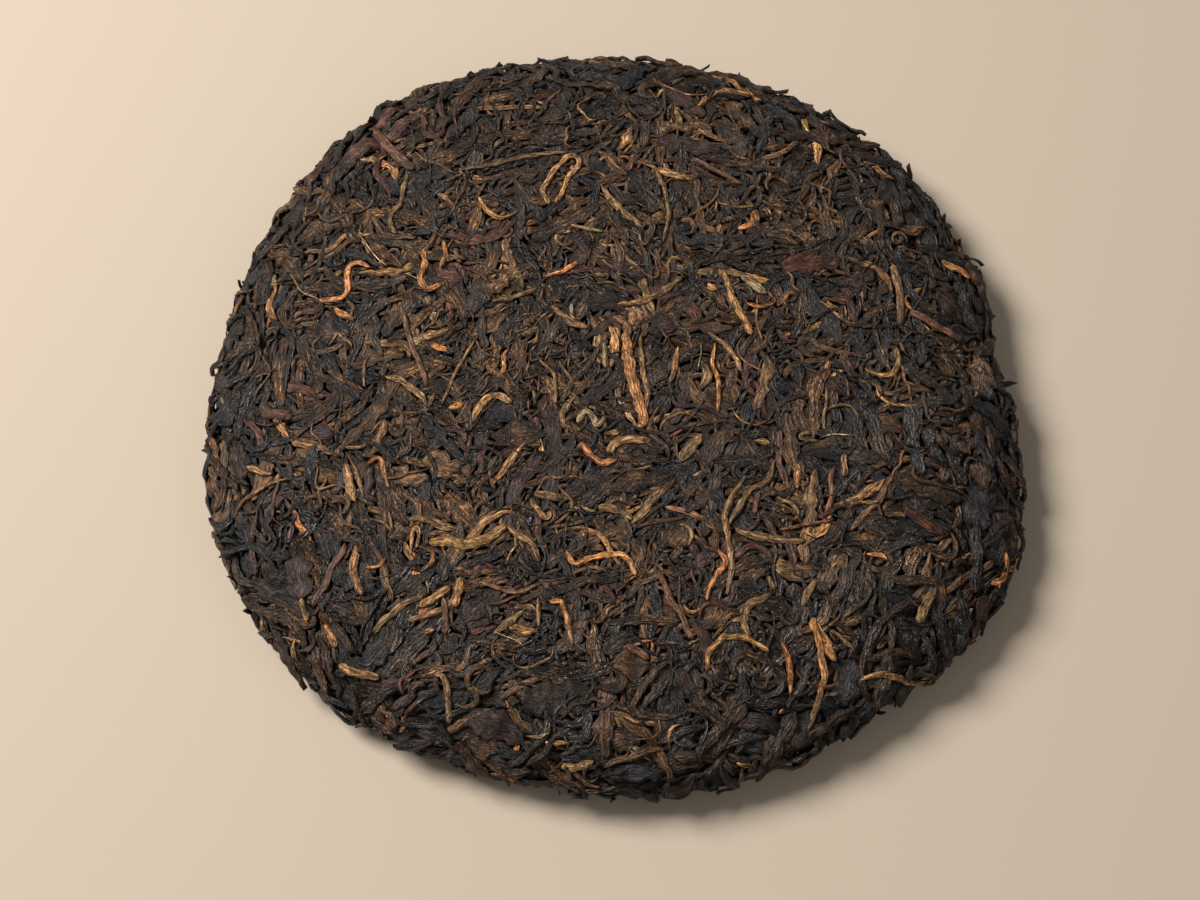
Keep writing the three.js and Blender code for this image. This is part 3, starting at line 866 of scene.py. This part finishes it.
def skin_leaf(leaf, draw):
    """The leaf's closed surface: rings of points over its folded top and its plain underside."""
    # The columns of points lie closer together towards both edges
    even = np.linspace(-1, 1, leaf.columns)
    over = 0.6 * even + 0.4 * np.sin(np.pi / 2 * even)
    below = np.array((0.45, -0.45)) if leaf.lift else np.array((0.0,))
    aside = np.concatenate((over, below))
    offset = leaf.reach(aside)

    # The folds run along the leaf, wind with its twist and fade out at the edges
    wobble = 0.9 * np.sin(leaf.along * 2 * np.pi / draw.uniform(4, 9) + draw.uniform(0, 6))
    turns = offset[:, : len(over)] / draw.uniform(0.85, 1.4) + (leaf.along * leaf.twist)[:, None]
    folds = np.sin(2 * np.pi * (turns + draw.uniform()) + wobble[:, None])
    swell = np.sin(leaf.along * 2 * np.pi / draw.uniform(3, 7) + draw.uniform(0, 6))[:, None]
    fade = (1 - over**4) * np.minimum(1, leaf.width / 1.6)
    ridge = (folds + 0.5 * swell) * fade
    shape = leaf.ridge * ridge + leaf.crown * (1 - over**2) - 0.6 * leaf.thick * np.abs(over) ** 5

    # A lifted end rises, and its underside rises less, so that no light shows under it
    start = (leaf.along - leaf.along[0]) / (leaf.along[-1] - leaf.along[0])
    level = leaf.top + leaf.lift * start**2
    under = level - leaf.thick - 0.3 * leaf.lift * start**2
    bottom = np.repeat(under[:, None], len(below), axis=1)
    lift = np.concatenate((level[:, None] + shape, bottom), axis=1)
    # The ridge value for the colour: the folds, lowered towards both edges and -1 on the underside, so
    # that painted shade darkens the edges and the underside
    height = np.concatenate((ridge - 0.8 * over**6, np.full(bottom.shape, -1.0)), axis=1)
    return on_skin(leaf.side, leaf.spots(aside), lift), height, start


def pack_cells(widths, heights, margin):
    """Places for many rectangles in a unit square, in rows, and the scale that lets them fit."""
    order = np.argsort(-heights)

    def rows_at(scale):
        places = np.zeros((len(widths), 2))
        x = y = tall = 0.0
        for i in order:
            wide, high = widths[i] * scale + margin, heights[i] * scale + margin
            if x + wide > 1:
                x, y, tall = 0.0, y + tall, 0.0
            places[i] = (x, y)
            x += wide
            tall = max(tall, high)
        return places, y + tall

    low, high = 0.0, 1 / math.sqrt((widths * heights).sum())
    for _ in range(14):
        scale = (low + high) / 2
        low, high = (scale, high) if rows_at(scale)[1] <= 1 else (low, scale)
    return rows_at(low)[0] + margin / 2, low


def mesh_from(name, points, corners, starts, smooth):
    """A piece from its points in millimetres, the corners of its faces and where each face starts."""
    mesh = bpy.data.meshes.new(name)
    mesh.vertices.add(len(points))
    mesh.vertices.foreach_set("co", (points * MM).astype(np.float32).ravel())
    mesh.loops.add(len(corners))
    mesh.loops.foreach_set("vertex_index", corners.astype(np.int32))
    mesh.polygons.add(len(starts))
    mesh.polygons.foreach_set("loop_start", starts.astype(np.int32))
    mesh.polygons.foreach_set("use_smooth", smooth.astype(bool))
    mesh.update(calc_edges=True)
    piece = bpy.data.objects.new(name, mesh)
    bpy.context.scene.collection.objects.link(piece)
    return piece


def set_values(mesh, name, kind, values):
    """A value or a colour for each point of a mesh."""
    layer = mesh.attributes.new(name, kind, "POINT")
    field = "color" if kind == "FLOAT_COLOR" else "value"
    layer.data.foreach_set(field, values.astype(np.float32).ravel())


def set_map(mesh, name, places):
    """A map of a mesh, from a place for each corner of its faces."""
    layer = mesh.uv_layers.new(name=name, do_init=False)
    layer.uv.foreach_set("vector", places.astype(np.float32).ravel())


def leaf_faces(leaf, rings, columns):
    """The quads round a leaf and its two ends, as the ring and the turn of each corner."""
    ring, column = np.meshgrid(np.arange(rings - 1), np.arange(columns), indexing="ij")
    ring, column = ring.ravel(), column.ravel()
    quad_ring = np.column_stack((ring, ring + 1, ring + 1, ring))
    quad_turn = np.column_stack((column, column, column + 1, column + 1))
    near = np.arange(columns)
    far = near[::-1]
    if leaf.side == "foot":
        quad_ring, quad_turn, near, far = quad_ring[:, ::-1], quad_turn[:, ::-1], far, near
    return quad_ring, quad_turn, near, far


def leaf_colours(leaf, start, columns):
    """Three tones along the leaf, with how strongly its veins show as the fourth value."""
    tones = np.stack((leaf.tone, leaf.middle_tone, leaf.end_tone))
    mixed = [np.interp(start, (0.12, 0.5, 0.88), channel) for channel in tones.T]
    mixed.append(np.full(len(start), leaf.vein))
    return np.repeat(np.column_stack(mixed), columns, axis=0)


def build_leaves(name, leaves, draw):
    """One mesh of all the leaves of a kind, with their colours and the maps of their surfaces.

    The map leaf_way runs along each leaf, in centimetres, for its fibres. In the map for baking, every
    leaf has a cell of its own, with its two ends in the room that is left at the cell's sides.
    """
    rows = {key: [] for key in ("points", "corners", "starts", "smooth", "tones", "ridges", "gloss")}
    ways, bakes = [], []
    end_room, side_room, round_share, cell_gap = 1.2, 0.4, 1.3, 3 / 1024
    runs = np.array([leaf.along[-1] - leaf.along[0] + end_room for leaf in leaves])
    girths = np.array([round_share * leaf.width + side_room for leaf in leaves])
    cells, scale = pack_cells(runs, girths, cell_gap)
    first = corner_count = 0
    for leaf, cell, run, girth in zip(leaves, cells, runs, girths):
        # The surface, with its faces and colours
        place, height, start = skin_leaf(leaf, draw)
        rings, columns = height.shape
        quad_ring, quad_turn, near, far = leaf_faces(leaf, rings, columns)
        quad_corners = quad_ring * columns + quad_turn % columns
        ends = np.concatenate((near, (rings - 1) * columns + far))
        quads = len(quad_ring)
        rows["corners"].append(first + np.concatenate((quad_corners.ravel(), ends)))
        each = np.concatenate((np.arange(quads) * 4, (quads * 4, quads * 4 + columns)))
        rows["starts"].append(corner_count + each)
        rows["smooth"].append(np.concatenate((np.ones(quads), (0, 0))))
        rows["points"].append(place.reshape(-1, 3))
        rows["tones"].append(leaf_colours(leaf, start, columns))
        rows["ridges"].append(height.ravel())
        rows["gloss"].append(np.full(rings * columns, leaf.gloss))
        first += rings * columns
        corner_count += quads * 4 + 2 * columns

        # The places of the same faces in both maps
        over = np.linspace(0, 1, leaf.columns)
        under = np.linspace(1, round_share, columns - leaf.columns + 2)[1:]
        turns = np.concatenate((over, under)) * leaf.width
        along = leaf.along[quad_ring] - leaf.along[0]
        flat = np.stack((along, turns[quad_turn]), axis=-1).reshape(-1, 2)
        ring_end = np.column_stack((np.zeros(columns), turns[:-1]))
        far_end = ring_end + (run - end_room, 0)
        ways.append(np.concatenate((flat, ring_end[near], far_end[far])) / 10 + draw.uniform(0, 40, 2))
        around = np.arange(columns) * 2 * np.pi / columns
        circle = np.column_stack((0.22 * np.cos(around), 0.4 * girth * np.sin(around)))
        near_spot = circle[near] + (end_room / 4, girth / 2)
        far_spot = circle[far] + (run - end_room / 4, girth / 2)
        middle = flat + (end_room / 2, side_room / 2)
        bakes.append(np.concatenate((middle, near_spot, far_spot)) * scale + cell)
    joined = {key: np.concatenate(values) for key, values in rows.items()}
    piece = mesh_from(name, *(joined[key] for key in ("points", "corners", "starts", "smooth")))
    set_values(piece.data, "leaf_tone", "FLOAT_COLOR", joined["tones"])
    set_values(piece.data, "ridge", "FLOAT", joined["ridges"])
    set_values(piece.data, "gloss", "FLOAT", joined["gloss"])
    set_map(piece.data, "leaf_way", np.concatenate(ways))
    set_map(piece.data, "OFBake", np.concatenate(bakes))
    piece.data.uv_layers["leaf_way"].active_render = True
    return piece


def build_core():
    """The crumbly dark mass that shows between the leaves."""
    around, bands = 168, 124
    travel = np.linspace(0, TRAVEL_END, bands + 1)[1:-1]
    angle = np.arange(around) * 2 * np.pi / around
    away, turn = np.meshgrid(travel, angle, indexing="ij")
    flat = np.stack((away * np.cos(turn), away * np.sin(turn)), axis=-1)
    place = on_skin("face", flat, np.zeros_like(away))
    rough = waves(place[..., 0] + place[..., 2], place[..., 1], 3.1, 11)
    rough = rough + 0.7 * waves(place[..., 0], place[..., 1] - place[..., 2], 1.9, 12)
    place = on_skin("face", flat, -CORE_DEPTH - 0.3 * np.clip(rough, -1.2, 1.2))
    middles = [(*PLAN_SHIFT, z) for z in (CENTRE_HEIGHT - CORE_DEPTH, DIMPLE_DEPTH + CORE_DEPTH)]
    points = np.concatenate((place.reshape(-1, 3), middles))
    band, step = np.meshgrid(np.arange(len(travel) - 1), np.arange(around), indexing="ij")
    start = (band * around).ravel()
    here, after = step.ravel(), (step.ravel() + 1) % around
    below = start + around
    quads = np.column_stack((start + here, below + here, below + after, start + after))
    ring = np.arange(around)
    ahead = (ring + 1) % around
    last = (len(travel) - 1) * around
    top = np.column_stack((np.full(around, len(points) - 2), ring, ahead))
    under = np.column_stack((np.full(around, len(points) - 1), last + ahead, last + ring))
    corners = np.concatenate((quads.ravel(), top.ravel(), under.ravel()))
    fan = len(quads) * 4 + np.arange(2 * around) * 3
    starts = np.concatenate((np.arange(len(quads)) * 4, fan))
    return mesh_from("pressed_core", points, corners, starts, np.ones(len(starts)))


def new_group(name, inputs, outputs):
    """An empty node group, with the nodes that hold its inputs and its outputs."""
    group = bpy.data.node_groups.new(name, "ShaderNodeTree")
    for label, kind, value in inputs:
        socket = group.interface.new_socket(label, in_out="INPUT", socket_type=kind)
        socket.default_value = value
    for label, kind in outputs:
        group.interface.new_socket(label, in_out="OUTPUT", socket_type=kind)
    return group, group.nodes.new("NodeGroupInput"), group.nodes.new("NodeGroupOutput")


def add_node(tree, kind, values=None, links=None, **settings):
    """A node with its settings, the values of its sockets and what is linked into them."""
    node = tree.nodes.new(kind)
    for name, value in settings.items():
        setattr(node, name, value)
    for name, value in (values or {}).items():
        node.inputs[name].default_value = value
    for name, source in (links or {}).items():
        tree.links.new(source, node.inputs[name])
    return node


def blend(tree, source, low, high, out_low, out_high, **links):
    """The source's span from low to high, softly carried over to another span."""
    node = add_node(
        tree,
        "ShaderNodeMapRange",
        {"From Min": low, "From Max": high, "To Min": out_low, "To Max": out_high},
        {"Value": source, **{name.replace("_", " "): link for name, link in links.items()}},
        interpolation_type="SMOOTHSTEP",
    )
    return node.outputs["Result"]


def times(tree, one, other):
    """One source times the other."""
    node = add_node(tree, "ShaderNodeMath", links={0: one, 1: other}, operation="MULTIPLY")
    return node.outputs["Value"]


def weighted(tree, one, weight, other):
    """One source times a weight, plus the other source."""
    node = add_node(tree, "ShaderNodeMath", {1: weight}, {0: one, 2: other}, operation="MULTIPLY_ADD")
    return node.outputs["Value"]


def mix_colours(tree, share, one, other):
    """One colour at a share of 0, and the other at 1."""
    node = add_node(tree, "ShaderNodeMix", links={0: share, 6: one, 7: other}, data_type="RGBA")
    return node.outputs[2]


def noise(tree, place, detail, roughness, scale=1.0, scale_link=None, distortion=0.0):
    """Noise whose size is a plain value or comes from a link."""
    node = add_node(
        tree,
        "ShaderNodeTexNoise",
        {"Scale": scale, "Detail": detail, "Roughness": roughness, "Distortion": distortion},
        {"Vector": place},
    )
    if scale_link:
        tree.links.new(scale_link, node.inputs["Scale"])
    return node.outputs["Fac"]


def fibre_group():
    """Fine lengthwise wrinkles and creases, specks and mottling, along the leaf's own map."""
    group, given, out = new_group(
        "leaf_fibres",
        (("Wrinkles Per mm", "NodeSocketFloat", 1.3), ("Specks Per mm", "NodeSocketFloat", 1.7)),
        tuple((label, "NodeSocketFloat") for label in ("Height", "Streaks", "Mottle", "Specks")),
    )
    way = add_node(group, "ShaderNodeUVMap", uv_map="leaf_way").outputs["UV"]
    drawn_out = add_node(group, "ShaderNodeMapping", {"Scale": (1.9, 10, 1)}, {"Vector": way})
    even = add_node(group, "ShaderNodeMapping", {"Scale": (10, 10, 1)}, {"Vector": way})
    drawn_out, even = drawn_out.outputs["Vector"], even.outputs["Vector"]

    wrinkles = given.outputs["Wrinkles Per mm"]
    wrinkle = noise(group, drawn_out, 2, 0.55, scale_link=wrinkles, distortion=0.5)
    shifted = add_node(group, "ShaderNodeMath", {1: 0.5}, {0: wrinkle}, operation="SUBTRACT")
    shifted = shifted.outputs["Value"]
    off_line = add_node(group, "ShaderNodeMath", links={0: shifted}, operation="ABSOLUTE")
    crease = blend(group, off_line.outputs["Value"], 0.0, 0.045, 0.0, 1.0)
    fine = noise(group, drawn_out, 2, 0.6, scale=2.6, distortion=0.4)
    strand = blend(group, fine, 0.34, 0.66, 0.25, 1.0)
    streaks = times(group, crease, strand)
    grain = noise(group, even, 2, 0.6, scale=3.0)
    height = weighted(group, grain, 0.3, weighted(group, wrinkle, 0.9, streaks))
    group.links.new(height, out.inputs["Height"])
    # Streaks falls to 0 on the crease lines; the colour uses it for painted crease shade and painted
    # ridge highlight
    group.links.new(streaks, out.inputs["Streaks"])
    group.links.new(noise(group, even, 3, 0.6, scale=0.4), out.inputs["Mottle"])
    specks = noise(group, even, 3, 0.7, scale_link=given.outputs["Specks Per mm"])
    group.links.new(blend(group, specks, 0.55, 0.68, 0.0, 1.0), out.inputs["Specks"])
    return group


def colour_group():
    """A leaf's colour, with painted shade darkening its folds and creases, and paler along its ridges,
    there partly tan and partly painted highlight, and at its specks.
    """
    group, given, out = new_group(
        "leaf_colour",
        (
            ("Streaks", "NodeSocketFloat", 0.5),
            ("Mottle", "NodeSocketFloat", 0.5),
            ("Specks", "NodeSocketFloat", 0.0),
            ("Ridge Tan And Highlight", "NodeSocketColor", (0.16, 0.09, 0.04, 1)),
            ("Ridge Amount", "NodeSocketFloat", 0.3),
            ("Painted Fold Shade", "NodeSocketFloat", 0.5),
            ("Painted Crease Shade", "NodeSocketColor", (0.007, 0.003, 0.0012, 1)),
        ),
        (("Color", "NodeSocketColor"),),
    )
    tone = add_node(group, "ShaderNodeAttribute", attribute_name="leaf_tone")
    ridge = add_node(group, "ShaderNodeAttribute", attribute_name="ridge").outputs["Fac"]
    # Painted shade: the colour darkens down into the folds, towards the edges and on the underside
    fold = blend(group, ridge, -1.0, 0.6, 0.5, 1.0, To_Min=given.outputs["Painted Fold Shade"])
    patch = blend(group, given.outputs["Mottle"], 0.3, 0.7, 1.0, 1.9)
    shade = times(group, patch, fold)
    shaded = add_node(
        group,
        "ShaderNodeVectorMath",
        links={0: tone.outputs["Color"], "Scale": shade},
        operation="SCALE",
    )
    # Partly painted highlight: the crests of the folds are tinted paler, together with the leaves' own
    # tan specks and patches
    crest_highlight = times(group, blend(group, ridge, -0.4, 1.0, 0.25, 1.0), given.outputs["Streaks"])
    place = add_node(group, "ShaderNodeTexCoord").outputs["Object"]
    patches = blend(group, noise(group, place, 2, 0.5, scale=130), 0.42, 0.62, 0.15, 1.0)
    pale = times(group, weighted(group, given.outputs["Specks"], 0.8, crest_highlight), patches)
    vein = add_node(
        group,
        "ShaderNodeMath",
        {1: 1.0, 2: 0.12},
        {0: tone.outputs["Alpha"]},
        operation="MULTIPLY_ADD",
    )
    # Painted shade: on the crease lines the colour goes almost wholly to a dark warm crease colour
    open_share = blend(group, given.outputs["Streaks"], 0.0, 1.0, 0.08, 1.0)
    crease_shaded = mix_colours(group, open_share, given.outputs["Painted Crease Shade"], shaded.outputs["Vector"])
    share = times(group, times(group, pale, vein.outputs["Value"]), given.outputs["Ridge Amount"])
    mixed = mix_colours(group, share, crease_shaded, given.outputs["Ridge Tan And Highlight"])
    group.links.new(mixed, out.inputs["Color"])
    return group


# By the first word of a piece's name: the material, its wrinkles for each millimetre, the tint of its
# ridges, partly tan and partly painted highlight, and how much of it, the painted shade in its folds,
# the span of roughness, the specular level and the depth of the relief
# The ridges' tint: partly tan fibre and partly painted highlight
RIDGE_TAN_AND_HIGHLIGHT = (184, 132, 82)
FINISHES = {
    "black": ("black_leaf", 1.3, RIDGE_TAN_AND_HIGHLIGHT, 1.2, 0.3, (0.26, 0.55), 0.6, 0.7),
    "umber": ("umber_leaf", 1.2, RIDGE_TAN_AND_HIGHLIGHT, 1.3, 0.3, (0.3, 0.58), 0.5, 0.7),
    "rim": ("rim_leaf", 1.1, (124, 84, 52), 0.8, 0.28, (0.34, 0.6), 0.45, 0.5),
    "foot": ("foot_leaf", 1.2, RIDGE_TAN_AND_HIGHLIGHT, 0.6, 0.45, (0.45, 0.66), 0.35, 0.2),
    "brown": ("brown_leaf", 1.2, (132, 98, 66), 0.5, 0.42, (0.45, 0.65), 0.35, 0.2),
    "golden": ("golden_tip", 1.6, (228, 190, 134), 0.75, 0.45, (0.5, 0.7), 0.3, 0.2),
    "stem": ("leaf_stem", 1.8, (168, 130, 100), 0.5, 0.55, (0.5, 0.7), 0.3, 0.1),
    "pale": ("bud_hair", 1.6, (214, 196, 160), 0.3, 0.7, (0.5, 0.7), 0.3, 0.05),
}
FINISHES["sunk"] = FINISHES["black"]


def new_material(name, specular):
    """A material, with its nodes and the one that holds its surface."""
    material = bpy.data.materials.new(name)
    material.use_nodes = True
    surface = material.node_tree.nodes["Principled BSDF"]
    surface.inputs["Specular IOR Level"].default_value = specular
    return material, material.node_tree, surface


def leaf_material(name, fibres, colours, wrinkles, tint, amount, fold, rough, specular, relief):
    """A finish of dry leaf, by the values of one line of FINISHES."""
    material, tree, surface = new_material(name, specular)
    fibre = add_node(tree, "ShaderNodeGroup", node_tree=fibres)
    fibre.inputs["Wrinkles Per mm"].default_value = wrinkles
    colour = add_node(tree, "ShaderNodeGroup", node_tree=colours)
    # The ridges' tan and painted highlight, and the painted shade in the folds
    colour.inputs["Ridge Tan And Highlight"].default_value = (*linear(tint), 1)
    colour.inputs["Ridge Amount"].default_value = amount
    colour.inputs["Painted Fold Shade"].default_value = fold
    for label in ("Streaks", "Mottle", "Specks"):
        tree.links.new(fibre.outputs[label], colour.inputs[label])
    tree.links.new(colour.outputs["Color"], surface.inputs["Base Color"])
    gloss = add_node(tree, "ShaderNodeAttribute", attribute_name="gloss").outputs["Fac"]
    uneven = weighted(tree, gloss, 1.0, fibre.outputs["Mottle"])
    tree.links.new(blend(tree, uneven, 0.3, 1.6, *rough), surface.inputs["Roughness"])
    height = fibre.outputs["Height"]
    bump = add_node(tree, "ShaderNodeBump", {"Distance": relief * MM}, {"Height": height})
    tree.links.new(bump.outputs["Normal"], surface.inputs["Normal"])
    return material


def core_material():
    """Dark dust and crumbs, in the gaps between the leaves."""
    material, tree, surface = new_material("tea_dust", specular=0.2)
    place = add_node(tree, "ShaderNodeTexCoord").outputs["Object"]
    crumbs = noise(tree, place, 4, 0.7, scale=900)
    ramp = add_node(tree, "ShaderNodeValToRGB", links={"Fac": crumbs})
    dark, pale = ramp.color_ramp.elements
    dark.position, pale.position = 0.35, 0.75
    dark.color = (*linear((14, 12, 11)), 1)
    pale.color = (*linear((50, 39, 31)), 1)
    tree.links.new(ramp.outputs["Color"], surface.inputs["Base Color"])
    relief = add_node(tree, "ShaderNodeBump", {"Distance": 0.4 * MM}, {"Height": crumbs})
    tree.links.new(relief.outputs["Normal"], surface.inputs["Normal"])
    surface.inputs["Roughness"].default_value = 0.85
    return material


def add_area_light(name, place, size, power, colour):
    """A round lamp that points at the cake."""
    light = bpy.data.lights.new(name, "AREA")
    light.shape = "DISK"
    light.size = size
    light.energy = power
    light.color = colour
    lamp = bpy.data.objects.new(name, light)
    lamp.location = place
    lamp.rotation_euler = (-Vector(place)).to_track_quat("-Z", "Y").to_euler()
    bpy.context.scene.collection.objects.link(lamp)


def set_stage():
    """A plain pale floor and soft light from above."""
    bpy.ops.mesh.primitive_plane_add(size=6, location=(0, 0, 0))
    floor = bpy.context.object
    floor.name = "floor"
    pale, _, surface = new_material("pale_floor", specular=0.2)
    surface.inputs["Base Color"].default_value = (*linear((186, 172, 155)), 1)
    surface.inputs["Roughness"].default_value = 0.9
    floor.data.materials.append(pale)

    world = bpy.data.worlds.new("soft_room")
    world.use_nodes = True
    background = world.node_tree.nodes["Background"]
    background.inputs["Color"].default_value = (1, 0.98, 0.95, 1)
    background.inputs["Strength"].default_value = 0.17
    bpy.context.scene.world = world
    add_area_light("overhead", (-0.8, 0.35, 0.9), size=0.6, power=26, colour=(1, 0.97, 0.93))
    add_area_light("fill", (0.8, -0.7, 0.9), size=1.0, power=2.5, colour=(1, 0.95, 0.9))


def set_camera():
    """The photograph's view: from the front and high up, with a fairly long lens."""
    lens, sensor, distance, elevation = 70, 36, 0.563, 65
    target, seen_at, width, height = Vector((0, 0, 0.009)), (612, 399), 1200, 900
    camera = bpy.data.cameras.new("photo_camera")
    camera.lens = lens
    camera.sensor_width = sensor
    holder = bpy.data.objects.new("photo_camera", camera)
    up_angle = math.radians(elevation)
    towards = Vector((0, -math.cos(up_angle), math.sin(up_angle)))
    up = Vector((0, math.sin(up_angle), math.cos(up_angle)))
    per_pixel = distance * sensor / lens / width
    aim = target - Vector((1, 0, 0)) * (seen_at[0] - width / 2) * per_pixel
    aim = aim + up * (seen_at[1] - height / 2) * per_pixel
    holder.location = aim + towards * distance
    holder.rotation_euler = (-towards).to_track_quat("-Z", "Y").to_euler()
    bpy.context.scene.collection.objects.link(holder)
    bpy.context.scene.camera = holder


def dress_cake():
    """Lays every leaf: those with a place of their own first, and then what fills both sides."""
    draw = np.random.default_rng(SEED)
    face = Bed("face", FOOT - 4)
    foot = Bed("foot", TRAVEL_END - FOOT + 8)
    solid_draw = seeded_draw(SEED)
    even_face = list(even_entries(FACE_LEAVES, 0, SHOULDER - 6, solid_draw))
    rim = list(rim_entries(solid_draw))
    even_foot = list(even_entries(FOOT_LEAVES, DIMPLE_RADIUS + 5, FOOT_RADIUS - 6, solid_draw))

    lay_named(face, "pale_hairs", PALE_HAIRS, draw, 0.15, ridge=0.02, tips=(0.4, 0.8))
    lay_bent_tips(face, draw)
    lay_named(face, "golden_leaves", GOLDEN_TIPS, draw, 0.4, ridge=0.12, tips=(0.2, 0.5), ragged=0.13)
    lay_named(face, "stem_leaves", STEMS, draw, 0.6, ridge=0.08, tips=(0.1, 0.1), ragged=0.06)
    lay_hairs(face, draw)
    lay_threads(face, draw)
    lay_named(face, "brown_leaves", BROAD_LEAVES, draw, 0.32, ridge=0.14, tips=(0.3, 0.4), crown=0)
    lay_named(face, "black_flat_leaves", even_face, draw, 0.32, ridge=0.15, tips=(0.3, 0.7), wiggle=8)
    for entry, lift in rim:
        lay_named(face, "rim_flat_leaves", [entry], draw, 0.8, ridge=0.2, tips=(0.3, 0.6), lift=lift)
    lay_flakes(face, draw)
    lay_named(foot, "foot_flat_leaves", even_foot, draw, 0.5, ridge=0.15)

    fill_bed(face, draw, most=5200, scraps_below=0.12, leave_bare=0.008)
    fill_bed(foot, draw, most=2500, scraps_below=0.1, leave_bare=0.025)


def finish_pieces():
    """Builds the core and one piece for each kind of leaf, each with its material, and hangs them under
    the root body.
    """
    draw = np.random.default_rng(SEED + 1)
    fibres = fibre_group()
    colours = colour_group()
    made = {}
    pieces = [build_core()]
    pieces[0].data.materials.append(core_material())
    for name, leaves in PIECES.items():
        title, *values = FINISHES[name.split("_")[0]]
        if title not in made:
            made[title] = leaf_material(title, fibres, colours, *values)
        piece = build_leaves(name, leaves, draw)
        piece.data.materials.append(made[title])
        pieces.append(piece)
    for piece in pieces:
        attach(piece, "root")
        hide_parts("tea_cake")


dress_cake()
finish_pieces()
set_stage()
set_camera()
bpy.context.scene.view_settings.view_transform = "Standard"
